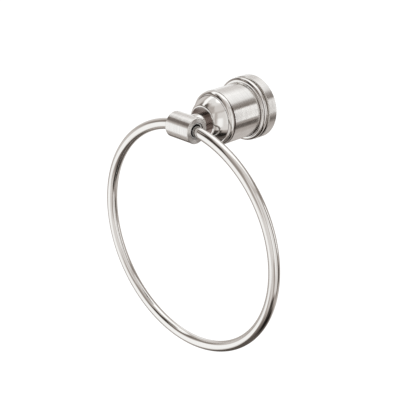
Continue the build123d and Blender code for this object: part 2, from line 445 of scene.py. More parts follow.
def ruled(first, last, normals, finish, steps=1):
    """Straight lines between two rows of points: P(s, k) = first_k + s (last_k - first_k)."""
    s = np.linspace(0, 1, steps + 1)[:, None, None]
    points = first + s * (last - first)
    run = np.linalg.norm(last - first, axis=-1)
    uv = np.stack((s[..., 0] * run, np.broadcast_to(np.linspace(0, 1, len(first)), points.shape[:2])), -1)
    return Patch(points, np.broadcast_to(normals, points.shape), uv, finish)


def window_edge(ends, half_window, radius, centre, window_steps, steps):
    """Edge of a window in a round wall, walked once round: its angles, distances and bearings from the hole.

    The window reaches half_window to each side of angle 0 and from ends[0] to ends[1] along the axis.
    """
    across = np.linspace(-half_window, half_window, window_steps + 1)
    along = np.linspace(ends[0], ends[1], steps + 1)
    angles = np.r_[across[:-1], np.full(steps, half_window), across[:0:-1], np.full(steps, -half_window)]
    places = np.r_[
        np.full(window_steps, ends[0]), along[:-1], np.full(window_steps, ends[1]), along[:0:-1]
    ]
    angles, places = np.r_[angles, angles[0]], np.r_[places, places[0]]
    return angles, places, np.arctan2(places - centre, radius * angles)


def drilled_wall(seat, radius, window, loop, facing, middle, finish, angles, steps, rings=14):
    """Round wall with one hole: a grid outside the window, and inside it lines from its edge to the loop.

    window and loop each give angles about the middle and distances along the axis. All points lie on the
    cylinder, so every normal is the radius, times facing.
    """
    edge_angles, edge_places = window
    loop_angles, loop_places = loop
    s = np.linspace(0, 1, rings + 1)[:, None]
    inside_t = middle + edge_angles + s * (loop_angles - edge_angles)
    inside_w = edge_places + s * (loop_places - edge_places)
    places = np.linspace(edge_places.min(), edge_places.max(), steps + 1)[:, None]
    half = edge_angles.max()
    clear = angles[(angles >= middle + half - TINY) & (angles <= middle + 2 * pi - half + TINY)]
    outside_t = np.broadcast_to(clear, (steps + 1, len(clear)))
    patches = []
    for t, w in ((inside_t, inside_w), (outside_t, np.broadcast_to(places, outside_t.shape))):
        uv = np.stack((w, t / (2 * pi)), -1)
        patches.append(Patch(lift(seat, w, radius, t), facing * lift_normals(seat, 0.0, 1.0, t), uv, finish))
    return patches


# Meshes

def build_mesh(name, patches, finishes):
    """Join patches into one closed mesh: equal points are welded, and corners keep their patch's normals."""
    kinds = list(dict.fromkeys(patch.finish for patch in patches))
    points = np.concatenate([patch.points.reshape(-1, 3) for patch in patches])
    normals = np.concatenate([patch.normals.reshape(-1, 3) for patch in patches])
    uv = np.concatenate([patch.uv.reshape(-1, 2) for patch in patches])
    quads, material = [], []
    first = 0
    for patch in patches:
        rows, columns = patch.points.shape[:2]
        index = first + np.arange(rows * columns).reshape(rows, columns)
        cells = np.stack((index[:-1, :-1], index[1:, :-1], index[1:, 1:], index[:-1, 1:]), -1).reshape(-1, 4)
        quads.append(cells)
        material.append(np.full(len(cells), kinds.index(patch.finish)))
        first += rows * columns
    quads, material = np.concatenate(quads), np.concatenate(material)
    corners = points[quads]
    facing = np.cross(corners[:, 2] - corners[:, 0], corners[:, 3] - corners[:, 1])
    against = np.einsum("ij,ij->i", facing, normals[quads].sum(1)) < 0
    quads[against] = quads[against][:, ::-1]
    _, sample, weld = np.unique(np.round(points / WELD), axis=0, return_index=True, return_inverse=True)
    welded = weld.reshape(-1)[quads]
    kept = welded != np.roll(welded, 1, axis=1)
    kept[kept.sum(1) < 3] = False
    sizes = kept.sum(1)
    loops = quads[kept]
    mesh = bpy.data.meshes.new(name)
    mesh.vertices.add(len(sample))
    mesh.vertices.foreach_set("co", points[sample].astype(np.float32).ravel())
    mesh.loops.add(len(loops))
    mesh.loops.foreach_set("vertex_index", welded[kept].astype(np.int32))
    mesh.polygons.add(int((sizes > 0).sum()))
    starts = np.r_[0, np.cumsum(sizes[sizes > 0])[:-1]]
    mesh.polygons.foreach_set("loop_start", starts.astype(np.int32))
    mesh.polygons.foreach_set("material_index", material[sizes > 0].astype(np.int32))
    mesh.update(calc_edges=True)
    mesh.shade_smooth()
    mesh.uv_layers.new(name=UV_NAME).uv.foreach_set("vector", uv[loops].astype(np.float32).ravel())
    mesh.normals_split_custom_set(normals[loops].astype(np.float32))
    for kind in kinds:
        mesh.materials.append(finishes[kind])
    return mesh


def add_object(name, data):
    """Put a new object into the scene, at the origin."""
    made = bpy.data.objects.new(name, data)
    bpy.context.scene.collection.objects.link(made)
    return made


def add_piece(name, patches, body, node):
    """Put a piece into the scene in place of a CAD node, on that node's body."""
    piece = add_object(name, build_mesh(name, patches, all_finishes()))
    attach(piece, body)
    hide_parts(node)


# Finishes

def set_inputs(tree, node, inputs):
    """Give a node its inputs: a socket is linked, and any other value is set."""
    for name, value in inputs.items():
        if isinstance(value, NodeSocket):
            tree.links.new(value, node.inputs[name])
        else:
            node.inputs[name].default_value = value


def add_node(tree, kind, inputs=None, **settings):
    """A new node with its settings and its inputs."""
    node = tree.nodes.new(kind)
    for name, value in settings.items():
        setattr(node, name, value)
    set_inputs(tree, node, inputs or {})
    return node


def calc(tree, operation, *values):
    """Result of a Math node."""
    return add_node(tree, "ShaderNodeMath", dict(enumerate(values)), operation=operation).outputs[0]


def between(tree, label, factor, low, high):
    """A value that runs from low to high as the factor runs over the middle of the noise."""
    given = {"Value": factor, "From Min": NOISE_LOW, "From Max": NOISE_HIGH, "To Min": low, "To Max": high}
    return add_node(tree, "ShaderNodeMapRange", given, label=label).outputs["Result"]


def mixed(tree, share, first, second):
    """A colour that runs from the first to the second as the share runs from 0 to 1."""
    given = {"Factor": share, "A": first, "B": second}
    return add_node(tree, "ShaderNodeMix", given, data_type="RGBA").outputs["Result"]


def place_group(tree, group, inputs, label=""):
    """Put a node group into a tree and give back its outputs."""
    return add_node(tree, "ShaderNodeGroup", inputs, node_tree=group, label=label).outputs


def new_group(name, inputs, outputs):
    """An empty shader node group with named sockets, its inputs node and its outputs node."""
    tree = bpy.data.node_groups.new(name, "ShaderNodeTree")
    for socket, kind, default in inputs:
        made = tree.interface.new_socket(socket, in_out="INPUT", socket_type=kind)
        if default is not None:
            made.default_value = default
    for socket in outputs:
        tree.interface.new_socket(socket, in_out="OUTPUT", socket_type="NodeSocketFloat")
    return tree, tree.nodes.new("NodeGroupInput").outputs, tree.nodes.new("NodeGroupOutput").inputs


def brush_lines_group():
    """Lines that the abrasive leaves round a piece: fine along the section, long round the axis."""
    tree, given, out = new_group(
        "Brush lines",
        [
            ("Map", "NodeSocketVector", None),
            ("Place", "NodeSocketVector", None),
            ("Lines per metre", "NodeSocketFloat", 9000.0),
            ("Breaks per metre", "NodeSocketFloat", 90.0),
        ],
        ["Lines", "Bands"],
    )
    along = add_node(tree, "ShaderNodeSeparateXYZ", {"Vector": given["Map"]}).outputs["X"]
    breaks = {0: given["Place"], "Scale": given["Breaks per metre"]}
    round_axis = add_node(tree, "ShaderNodeVectorMath", breaks, operation="SCALE").outputs[0]
    for name, share in (("Lines", 1.0), ("Bands", 0.4)):
        across = calc(tree, "MULTIPLY", along, calc(tree, "MULTIPLY", given["Lines per metre"], share))
        offset = add_node(tree, "ShaderNodeCombineXYZ", {"X": across}).outputs[0]
        where = add_node(tree, "ShaderNodeVectorMath", {0: round_axis, 1: offset}, operation="ADD").outputs[0]
        noise = add_node(
            tree, "ShaderNodeTexNoise", {"Vector": where, "Scale": 1.0, "Detail": 3.0, "Roughness": 0.6}
        )
        tree.links.new(noise.outputs["Fac"], out[name])
    return tree


def handling_group():
    """Soft uneven patches that wiping leaves on metal."""
    tree, given, out = new_group(
        "Handling",
        [("Place", "NodeSocketVector", None), ("Patches per metre", "NodeSocketFloat", 70.0)],
        ["Patches", "Ripple"],
    )
    for name, share, detail in (("Patches", 1.0, 4.0), ("Ripple", 6.0, 2.0)):
        scale = calc(tree, "MULTIPLY", given["Patches per metre"], share)
        noise = add_node(
            tree, "ShaderNodeTexNoise", {"Vector": given["Place"], "Scale": scale, "Detail": detail}
        )
        tree.links.new(noise.outputs["Fac"], out[name])
    return tree


def shared_group(name, make):
    """The node group of that name, made once."""
    return bpy.data.node_groups.get(name) or make()


def new_finish(name):
    """An empty material, its tree and its Principled shader."""
    material = bpy.data.materials.new(name)
    material.use_nodes = True
    tree = material.node_tree
    return material, tree, tree.nodes["Principled BSDF"]


def metal(name, tint, streak, roughness, work):
    """Metal with brush lines in its colour, roughness and relief, stretched highlights and wiped patches."""
    material, tree, shader = new_finish(name)
    place = add_node(tree, "ShaderNodeTexCoord").outputs["Object"]
    mapped = add_node(tree, "ShaderNodeUVMap", uv_map=UV_NAME).outputs["UV"]
    brush = place_group(
        tree,
        shared_group("Brush lines", brush_lines_group),
        {"Map": mapped, "Place": place, "Lines per metre": work.lines},
    )
    wiped = place_group(tree, shared_group("Handling", handling_group), {"Place": place})
    streaks = between(tree, "Brush colour", brush["Bands"], 0.0, 1.0)
    lined = between(tree, "Lined roughness", brush["Lines"], roughness - work.spread, roughness + work.spread)
    uneven = between(tree, "Wiped patches", wiped["Patches"], -work.spread / 2, work.spread / 2)
    relief = add_node(
        tree, "ShaderNodeBump", {"Height": brush["Lines"], "Strength": 1.0, "Distance": work.depth}
    )
    tangent = add_node(tree, "ShaderNodeTangent", direction_type="UV_MAP", uv_map=UV_NAME)
    set_inputs(tree, shader, {
        "Base Color": mixed(tree, streaks, (*streak, 1), (*tint, 1)),
        "Metallic": 1.0,
        "Roughness": calc(tree, "ADD", lined, uneven),
        "Normal": relief.outputs["Normal"],
        "Anisotropic": work.stretch,
        "Tangent": tangent.outputs["Tangent"],
    })
    return material


def light_by_height(material, light, *ranges):
    """Painted light: lighten a finish's colour by height; each range runs from dark to fully lit."""
    tree = material.node_tree
    base = tree.nodes["Principled BSDF"].inputs["Base Color"]
    place = add_node(tree, "ShaderNodeTexCoord").outputs["Object"]
    height = add_node(tree, "ShaderNodeSeparateXYZ", {"Vector": place}).outputs["Z"]
    share = 0.0
    for dark, lit in ranges:
        part = add_node(tree, "ShaderNodeMapRange", {"Value": height, "From Min": dark, "From Max": lit})
        share = calc(tree, "MAXIMUM", share, part.outputs["Result"])
    tree.links.new(mixed(tree, share, base.links[0].from_socket, (*light, 1)), base)


def coated(name, tint, coat):
    """Plain moulded or plated surface with a fine grain in its colour, roughness and relief."""
    material, tree, shader = new_finish(name)
    place = add_node(tree, "ShaderNodeTexCoord").outputs["Object"]
    wiped = place_group(
        tree, shared_group("Handling", handling_group), {"Place": place, "Patches per metre": coat.grain}
    )
    dark = tuple(COAT_MOTTLE * c for c in tint)
    mottling = between(tree, "Mottling", wiped["Patches"], 0.0, 1.0)
    low, high = coat.roughness - coat.spread, coat.roughness + coat.spread
    relief = add_node(
        tree, "ShaderNodeBump", {"Height": wiped["Ripple"], "Strength": COAT_RELIEF, "Distance": COAT_DEPTH}
    )
    set_inputs(tree, shader, {
        "Base Color": mixed(tree, mottling, (*dark, 1), (*tint, 1)),
        "Metallic": coat.metallic,
        "Roughness": between(tree, "Grained roughness", wiped["Ripple"], low, high),
        "Normal": relief.outputs["Normal"],
    })
    return material


def all_finishes():
    """Every finish of the towel ring by name, made on first use."""
    if FINISHES:
        return FINISHES
    s = bpy.context.scene.towel_ring.finish
    nickel, streak, painted_shade, deep = (tuple(tint) for tint in (s.nickel, s.nickel_streak, s.painted_shade, s.line))
    soft = tuple(SOFT_STREAK * c for c in nickel)
    for kind, tint, streaks, roughness, work in (
        ("brushed", nickel, streak, s.brushed, BRUSHED),
        ("cup", nickel, streak, s.cup, BRUSHED),
        ("polished", nickel, soft, s.polished, POLISHED),
        ("satin", nickel, soft, s.satin, SATIN),
        ("turned", nickel, streak, s.turned, TURNED),
        # Painted shade: the next four finishes are dark nickel laid where shade and dark reflections fall,
        # not the nickel's own colour
        ("painted_shade", painted_shade, painted_shade, s.brushed, SHADED),
        ("line", deep, painted_shade, s.polished, SHADED),
        ("quirk", deep, painted_shade, s.polished, SHADED),
        ("hollow", deep, painted_shade, s.polished, SHADED),
    ):
        FINISHES[kind] = metal(f"nickel_{kind}", tint, streaks, roughness, work)
    # Painted light: each painted shade turns back to nickel over its heights
    light_by_height(FINISHES["painted_shade"], nickel, s.recess_lit)
    light_by_height(FINISHES["quirk"], nickel, s.quirk_lit)
    light_by_height(FINISHES["hollow"], nickel, s.hollow_lit, s.hollow_floor_lit)
    FINISHES["nylon"] = coated("nylon_grey", tuple(s.nylon), MOULDED)
    # Painted shade on the bushes' lead-in and bore
    FINISHES["painted_bush_shade"] = coated("nylon_shade", tuple(s.nylon_shade), MOULDED)
    FINISHES["zinc"] = coated("zinc_plate", tuple(s.zinc), PLATED)
    FINISHES["black"] = coated("black_oxide", tuple(s.black), BLACKENED)
    return FINISHES


# Pieces

class TOWELRING_OT_hoop(Operator):
    """Bend the hoop: a round rod carried along an open circle, with rounded ends"""

    bl_idname = "towel_ring.hoop"
    bl_label = "Hoop"

    def execute(self, context):
        s = context.scene.towel_ring.hoop
        low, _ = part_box("ring")
        bend = s.outer_radius - s.rod_radius
        centre = np.array([0.0, -HINGE_REACH, low.z + s.outer_radius])
        first = s.end_gap / bend
        run = 2 * (pi - first) * bend
        flat = s.rod_radius - s.end_round
        tail = line((0.0, 0.0), (0.0, flat), steps=6)
        edge = arc((s.end_round, flat), s.end_round, pi, pi / 2, steps=8)
        body = line((s.end_round, s.rod_radius), (run - s.end_round, s.rod_radius), s.steps_round_hoop)
        t = full_circle(s.steps_round_rod)
        patches = []
        begin = 0.0
        # P(w, r, t) = centre + bend out + r (cos t out + sin t y), where out turns with w along the rod
        for points, normals in (tail, edge, body, *mirrored([tail, edge], run)):
            a = pi / 2 + first + points[:, :1] / bend
            out = np.stack((np.cos(a), 0 * a, np.sin(a)), -1)
            ahead = np.stack((-np.sin(a), 0 * a, np.cos(a)), -1)
            round_rod = np.cos(t)[:, None] * out + np.sin(t)[:, None] * np.array([0.0, 1, 0])
            place = centre + bend * out + points[:, 1:, None] * round_rod
            facing = normals[:, :1, None] * ahead + normals[:, 1:, None] * round_rod
            along = run_along(points, begin)
            begin = along[-1]
            uv = np.stack(np.broadcast_arrays(along[:, None], t / (2 * pi)), -1)
            patches.append(Patch(place, facing, uv, "satin"))
        add_piece("hoop", patches, "ring", "ring")
        return {"FINISHED"}


class TOWELRING_OT_flange(Operator):
    """Turn the wall flange: a brushed cup with a polished bead and the set screw's hole under it"""

    bl_idname = "towel_ring.flange"
    bl_label = "Wall flange"

    def execute(self, context):
        settings = context.scene.towel_ring
        s = settings.flange
        angles = UNDER + full_circle(settings.steps_round)
        runs = self.turned_faces(s, spigot_radius(settings) + s.spigot_fit)
        patches = self.drilled_cup(s, angles) + turned_runs(runs, POST_SEAT, angles)
        add_piece("wall_flange", patches, "post", "flange")
        return {"FINISHED"}

    def drilled_cup(self, s, angles):
        """The cup's side wall, outside and inside, and the set screw's hole through it from below."""
        steps, window_steps = 8, 20
        half_window = pi * window_steps / (len(angles) - 1)
        outer, inner = (0.0, s.depth - s.edge), (0.0, s.cavity_depth)
        _, _, bearing = window_edge(outer, half_window, s.radius, s.screw_axis, window_steps, steps)
        side = s.screw_hole * np.cos(bearing)
        out = s.screw_axis + s.screw_hole * np.sin(bearing)
        patches, rows = [], []
        for radius, ends, facing in ((s.radius, outer, 1), (s.radius - s.wall, inner, -1)):
            edge = window_edge(ends, half_window, radius, s.screw_axis, window_steps, steps)[:2]
            loop = np.arcsin(side / radius), out
            patches += drilled_wall(POST_SEAT, radius, edge, loop, facing, UNDER, "cup", angles, steps)
            rows.append(lift(POST_SEAT, out, radius, UNDER + loop[0]))
        hole_normals = -np.stack((np.cos(bearing), -np.sin(bearing), 0 * bearing), -1)
        return [*patches, ruled(*rows, hole_normals, "turned", steps=4)]

    def turned_faces(self, s, spigot):
        """Runs of the rim, the front edge, the groove, the bead and the post's seat, with their finishes."""
        front = -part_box("flange")[0].y
        cavity, groove = s.radius - s.wall, s.radius - s.groove_depth
        bead_radius = s.bead / 2
        middle, centre = front - bead_radius, s.radius - s.bead_drop - bead_radius
        rise = asin((groove - centre) / bead_radius)
        half_line = s.line_width / s.bead
        marks = (pi - rise, s.painted_line_at + half_line, s.painted_line_at - half_line, s.hollow_shade_at, 0.0)
        bead_back, bead_line, bead_front, hollow = arcs((middle, centre), bead_radius, marks, steps=24)
        groove_top = (s.depth, s.radius - s.edge)
        edge = path([(s.depth - s.edge, s.radius), (s.depth, s.radius), groove_top], {1: s.edge})
        seat_corners = [(front, centre), (front, spigot), (s.cavity_depth, spigot), (s.cavity_depth, cavity)]
        return (
            (path([(0, cavity), (0, s.radius)]), "turned"),
            (edge, "cup"),
            # Painted shade: the groove's wall and the bead's front next to the barrel are dark nickel
            # lightened by height with painted light, and the groove's floor and the line on the bead are
            # painted near-black
            (path([groove_top, (s.depth, groove)]), "hollow"),
            (path([(s.depth, groove), bead_back[0][0]]), "line"),
            ([bead_back], "polished"),
            ([bead_line], "line"),
            ([bead_front], "polished"),
            ([hollow], "hollow"),
            (path(seat_corners, steps=3), "turned"),
        )


def barrel_radius(settings):
    """Radius of the post's barrel, inside the edge of its foot."""
    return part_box("post")[1].x - settings.post.foot_step


def spigot_radius(settings):
    """Radius of the post's spigot."""
    return barrel_radius(settings) - settings.post.spigot_step


def keyed_radius(angles, radius, flat):
    """Radius of a circle with two flats, above and below the axis."""
    return np.minimum(radius, flat / np.maximum(np.abs(np.sin(angles)), TINY))


def keyed_normals(angles, radius, flat):
    """Outward directions round a circle with two flats, as parts along side and up."""
    on_flat = keyed_radius(angles, radius, flat) < radius - TINY
    return np.where(on_flat, 0.0, np.cos(angles)), np.where(on_flat, np.sign(np.sin(angles)), np.sin(angles))


def keyed_step(angles, key, front, back, outer, inner, facing, front_finish):
    """Keyed step on the post's axis: a front ring, the keyed wall and a back ring.

    facing is -1 for a socket, whose wall looks at the axis, and 1 for a tail.
    """
    radius = keyed_radius(angles, *key)
    side, up = keyed_normals(angles, *key)
    wall = facing * (side[:, None] * POST_SEAT.side + up[:, None] * POST_SEAT.up)
    rows = [
        lift(POST_SEAT, front, np.full_like(angles, outer), angles),
        lift(POST_SEAT, front, radius, angles),
        lift(POST_SEAT, back, radius, angles),
        lift(POST_SEAT, back, np.full_like(angles, inner), angles),
    ]
    ring = -facing * POST_SEAT.axis
    return [
        ruled(rows[0], rows[1], ring, front_finish, steps=3),
        ruled(rows[1], rows[2], wall, "turned", steps=3),
        ruled(rows[2], rows[3], ring, "turned", steps=2),
    ]


class TOWELRING_OT_post(Operator):
    """Turn the post: brushed barrel, polished shoulder, dome and face, bored from behind"""

    bl_idname = "towel_ring.post"
    bl_label = "Post"

    def execute(self, context):
        settings = context.scene.towel_ring
        s, h = settings.post, settings.holder
        low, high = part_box("post")
        flare, back, face = high.x, -high.y, -low.y
        foot = -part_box("flange")[0].y
        key_back = -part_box("ring_holder")[1].y
        angles = full_circle(settings.steps_round)
        # Radii, then distances from the wall
        barrel, spigot = barrel_radius(settings), spigot_radius(settings)
        bore, quirk = spigot - s.wall, barrel - s.quirk_depth
        land = foot + s.foot_land
        barrel_back, barrel_front = land + s.foot_cove, foot + s.barrel_length
        shoulder_back = barrel_front + s.quirk_width
        bore_floor = face - s.front_wall
        # Spigot, foot and barrel
        spigot_run = path([(back, bore), (back, spigot), (foot, spigot), (foot, flare)], steps=3)
        cove = arc((barrel_back, barrel + s.foot_cove), s.foot_cove, pi, 3 * pi / 2)
        foot_run = path([(foot, flare), (land, flare), cove[0][0]])
        edge_start = (barrel_front - s.barrel_edge, barrel)
        barrel_run = path([(barrel_back, barrel), edge_start], steps=8)
        # Shoulder, with painted shade from the fine groove behind it and the painted dark line before it
        shoulder_centre = (shoulder_back + s.shoulder_crest, barrel - s.shoulder_drop - s.shoulder_round)
        shoulder_start = pi / 2 + asin(s.shoulder_crest / s.shoulder_round)
        shoulder_end = acos((s.shoulder_length - s.shoulder_crest) / s.shoulder_round)
        marks = (
            shoulder_start,
            shoulder_start - s.quirk_shade / s.shoulder_round,
            shoulder_end + s.line_width / s.shoulder_round,
            shoulder_end,
        )
        shade, shoulder, painted_line = arcs(shoulder_centre, s.shoulder_round, marks, steps=32)
        quirk_top = (barrel_front, barrel - s.barrel_edge)
        edge_run = path([edge_start, (barrel_front, barrel), quirk_top], {1: s.barrel_edge})
        quirk_run = path([quirk_top, (barrel_front, quirk), (shoulder_back, quirk), shade[0][0]])
        # Dome, face and what is bored from behind
        nosed = nosed_dome(painted_line[0][-1], (face, s.face_radius), s.dome_bulge, s.face_round)
        flat = nosed[-1][0][-1, 1]
        bore_run = path([(bore_floor, s.screw_hole), (bore_floor, bore), (back, bore)], steps=4)
        screw_run = path([(key_back, s.screw_hole), (bore_floor, s.screw_hole)])
        # Painted shade: the quirk finish darkens the foot's cove, the barrel's front edge, the fine groove
        # and the foot of the shoulder, lighter towards the top by painted light; the line finish paints the
        # dark line before the dome
        runs = (
            (spigot_run, "turned"),
            (foot_run, "polished"),
            ([cove], "quirk"),
            (barrel_run, "brushed"),
            ([*edge_run, *quirk_run, shade], "quirk"),
            ([shoulder], "polished"),
            ([painted_line], "line"),
            (nosed, "polished"),
            (bore_run, "turned"),
            (screw_run, "turned"),
        )
        key = h.tail_radius + s.key_fit, h.tail_flat + s.key_fit
        # The flat face round the stem carries painted shade, lightened towards the top by painted light
        socket = keyed_step(angles, key, face, key_back, flat, s.screw_hole, -1, "painted_shade")
        patches = turned_runs(runs, POST_SEAT, angles) + socket
        add_piece("post_body", patches, "post", "post")
        return {"FINISHED"}


def stem_hollow(t, stem, flare, barrel):
    """Hollow between the stem and the cross barrel, as a ball leaves it that rolls round the stem at turn t.

    The ball's centre is stem + flare from the stem's axis and barrel + flare from the barrel's axis. Its
    directions b and m point to where it touches the barrel and the stem, with the angle g between them:
    P(f, t) = centre + flare (sin((1 - f) g) b + sin(f g) m) / sin g.
    Returns the hollow, and the angles and distances of its edge on the barrel.
    """
    steps = 12
    reach = barrel + flare
    x, z = (stem + flare) * np.sin(t), (stem + flare) * np.cos(t)
    y = np.sqrt(reach**2 - z**2)
    centre = np.stack((x, y - HINGE_REACH, z), -1)
    to_barrel = -np.stack((0 * t, y, z), -1) / reach
    to_stem = -np.stack((np.sin(t), 0 * t, np.cos(t)), -1)
    spread = np.arccos(np.clip((to_barrel * to_stem).sum(-1), -1, 1))
    f = np.linspace(0, 1, steps + 1)[:, None]
    inward = (
        np.sin((1 - f) * spread)[..., None] * to_barrel + np.sin(f * spread)[..., None] * to_stem
    ) / np.sin(spread)[:, None]
    uv = np.stack(np.broadcast_arrays(f * flare, t / (2 * pi)), -1)
    return Patch(centre + flare * inward, -inward, uv, "polished"), (np.arcsin(z / reach), x)


class TOWELRING_OT_holder(Operator):
    """Shape the cross barrel and its stem, which meet in a rolling-ball hollow"""

    bl_idname = "towel_ring.holder"
    bl_label = "Cross barrel"

    def execute(self, context):
        settings = context.scene.towel_ring
        s = settings.holder
        _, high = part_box("ring_holder")
        end, radius, tail_back = high.x, high.z, -high.y
        angles = full_circle(settings.steps_round)
        steps, window_steps = 48, settings.steps_round // 2
        *window, t = window_edge((s.edge - end, end - s.edge), pi / 2, radius, 0.0, window_steps, steps)
        hollow, loop = stem_hollow(t, s.stem_radius, s.stem_flare, radius)
        patches = drilled_wall(HINGE_SEAT, radius, window, loop, 1, 0.0, "brushed", angles, steps, rings=18)
        patches.append(hollow)
        patches += self.stem(s, hollow, pi / 2 - t, tail_back)
        right = self.barrel_end(s, end, radius)
        left = [(mirrored(stretches), finish) for stretches, finish in right]
        patches += turned_runs([*right, *left], HINGE_SEAT, angles)
        add_piece("cross_barrel", patches, "post", "ring_holder")
        return {"FINISHED"}

    def stem(self, s, hollow, angles, tail_back):
        """Stem from the hollow to the post's face, its keyed tail and the threaded hole in the tail."""
        post_face = -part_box("post")[0].y
        foot = lift(POST_SEAT, post_face, np.full_like(angles, s.stem_radius), angles)
        key = s.tail_radius, s.tail_flat
        hole_end = tail_back + s.thread_depth
        patches = [ruled(hollow.points[-1], foot, hollow.normals[-1], "polished", steps=6)]
        patches += keyed_step(angles, key, post_face, tail_back, s.stem_radius, s.thread_hole, 1, "turned")
        hole = path([(hole_end, 0), (hole_end, s.thread_hole), (tail_back, s.thread_hole)])
        return patches + turned(hole, POST_SEAT, angles, "turned")

    def barrel_end(self, s, end, radius):
        """Runs of the cross barrel's right end, from its edge over its face into the bush's bore."""
        bush_low, bush_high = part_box("right_bush")
        web, seat = bush_low.x, bush_high.z + s.seat_fit
        face_edge, mouth, bore = (end, radius - s.edge), (end, seat + s.mouth), (end - s.mouth, seat)
        return (
            (path([(end - s.edge, radius), (end, radius), face_edge], {1: s.edge}), "polished"),
            (path([face_edge, mouth], steps=3), "turned"),
            # The bore's mouth chamfer is painted near-black: painted shade round the bush
            (path([mouth, bore]), "line"),
            (path([bore, (web, seat), (web, 0)], steps=3), "turned"),
        )


class TOWELRING_OT_bushes(Operator):
    """Turn the two nylon bushes that the rod's ends sit in"""

    bl_idname = "towel_ring.bushes"
    bl_label = "Bushes"

    def execute(self, context):
        settings = context.scene.towel_ring
        s = settings.bush
        angles = full_circle(settings.steps_round // 3)
        inner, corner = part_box("right_bush")
        start, end, radius = inner.x, corner.x, corner.z
        bore = radius - s.wall
        lip = (end, bore + s.lead_in)
        corners = [(start, bore), (start, radius), (end, radius), lip]
        outside = path(corners, {2: s.edge}, steps=3, round_steps=5)
        # The lead-in and the bore carry painted shade
        mouth = path([lip, (end - s.lead_in, bore), (start, bore)], steps=3)
        right = ((outside, "nylon"), (mouth, "painted_bush_shade"))
        left = [(mirrored(stretches), finish) for stretches, finish in right]
        for name, node, runs in (("bush_left", "left_bush", left), ("bush_right", "right_bush", right)):
            add_piece(name, turned_runs(runs, HINGE_SEAT, angles), "post", node)
        return {"FINISHED"}


class TOWELRING_OT_fixings(Operator):
    """Finish the wall bracket, the washer and the screws"""

    bl_idname = "towel_ring.fixings"
    bl_label = "Bracket and screws"

    def execute(self, context):
        finishes = all_finishes()
        for node, finish in (
            ("wall_bracket", "zinc"),
            ("split_washer", "zinc"),
            ("holder_screw", "zinc"),
            ("set_screw", "black"),
        ):
            frame["nodes"][node].material_slots[0].material = finishes[finish]
        return {"FINISHED"}


# Studio lights and flags on the tent, later ones over earlier ones. Each has a name, its azimuth and half
# width, its elevation and half height, the softness of its edge, all in degrees, and its brightness.
TENT_SOCKETS = ("Light azimuth", "Half width", "Light elevation", "Half height", "Softness", "Brightness")
TENT_BASE = 0.5
TENT_PLAN = (
    ("ceiling", 0, 180, 90, 30, 16, 0.9),
    ("back ceiling", 180, 68, 68, 26, 12, 1.32),
    ("left ceiling", -108, 14, 68, 9, 12, 0.92),
    ("left light bar", -90, 36, 50, 9, 7, 1.22),
    ("right ceiling", 90, 44, 60, 16, 14, 0.76),
    ("front ceiling", -8, 50, 64, 10, 14, 0.5),
    ("front flag top", -46, 22, 60, 7, 8, 0.12),
    ("soft box top", -21, 10, 15, 7, 7, 1.05),
    ("upper grey", 10, 16, 33, 14, 12, 0.34),
    ("left flag", -58, 32, 34, 9, 9, 0.2),
    ("front flag", -18, 15, 42, 15, 7, 0.06),
    ("left back grey", -106, 14, 16, 16, 12, 0.7),
    ("left grey", -78, 12, 12, 14, 12, 0.48),
    ("left low glow", -78, 14, -8, 9, 10, 0.66),
    ("back left glow", -147, 28, 29, 11, 10, 0.78),
    ("back left light", -134, 13, 4, 12, 9, 1.05),
    ("back shade", 176, 27, 14, 11, 10, 0.3),
    ("back right glow", 155, 30, 43, 7, 8, 1.05),
    ("front soft box", -30, 30, -10, 24, 10, 1.1),
    ("left side flag", -69, 9, 19, 11, 8, 0.28),
    ("soft box foot", -35, 17, -43, 11, 8, 1.12),
    ("middle light", 14, 18, -14, 18, 12, 0.8),
    ("middle upper", 16, 12, 14, 9, 10, 0.44),
    ("low middle", 22, 16, -38, 8, 9, 0.75),
    ("middle grey", 43, 14, 12, 30, 10, 0.84),
    ("middle shade", 47, 6, -30, 11, 8, 0.36),
    ("strip shade", 54.5, 3, 8, 36, 6, 0.5),
    ("right soft box", 84, 23, -1, 41, 8, 0.82),
    ("right light", 70, 8, -6, 20, 9, 1.1),
    ("right soft box side", 98, 8, 12, 28, 9, 0.95),
    ("right low", 100, 18, -49, 5, 6, 0.45),
    ("right flag", 119, 10, 0, 42, 12, 0.45),
    ("right shade", 124, 8, -2, 28, 6, 0.2),
    ("barrel light", 137.5, 6, 3, 18, 5, 1.65),
    ("barrel flag", 140, 8, 27, 4.5, 5, 0.17),
    ("barrel flag end", 148, 9, 32.5, 5, 6, 0.2),
    ("barrel low flag", 134, 17, -29, 6.5, 6, 0.1),
    ("right low shade", 118, 12, -39, 6, 6, 0.22),
    ("back floor light", -175, 25, -46, 6, 8, 0.66),
    ("left low shade", -108, 14, -44, 8, 9, 0.12),
    ("table", 0, 180, -90, 34, 14, 0.11),
    ("table glow", -38, 14, -53, 6, 8, 0.8),
    ("table left", -80, 14, -58, 7, 11, 0.5),
    ("front low shade", 0, 18, -54, 6, 8, 0.22),
    ("table shade", 80, 42, -66, 12, 14, 0.015),
    ("table shade end", 58, 24, -51.5, 8.5, 7, 0.06),
)


def bearing_group():
    """Azimuth from the room's side and elevation, in degrees, of a place seen from the origin."""
    tree, given, out = new_group("Bearing", [("Place", "NodeSocketVector", None)], ["Azimuth", "Elevation"])
    part = add_node(tree, "ShaderNodeSeparateXYZ", {"Vector": given["Place"]}).outputs
    away = calc(tree, "MULTIPLY", part["Y"], -1.0)
    level = add_node(tree, "ShaderNodeVectorMath", {0: given["Place"], 1: (1, 1, 0)}, operation="MULTIPLY")
    reach = add_node(tree, "ShaderNodeVectorMath", {0: level.outputs[0]}, operation="LENGTH").outputs["Value"]
    for name, rise, run in (("Azimuth", part["X"], away), ("Elevation", part["Z"], reach)):
        tree.links.new(calc(tree, "DEGREES", calc(tree, "ARCTAN2", rise, run)), out[name])
    return tree


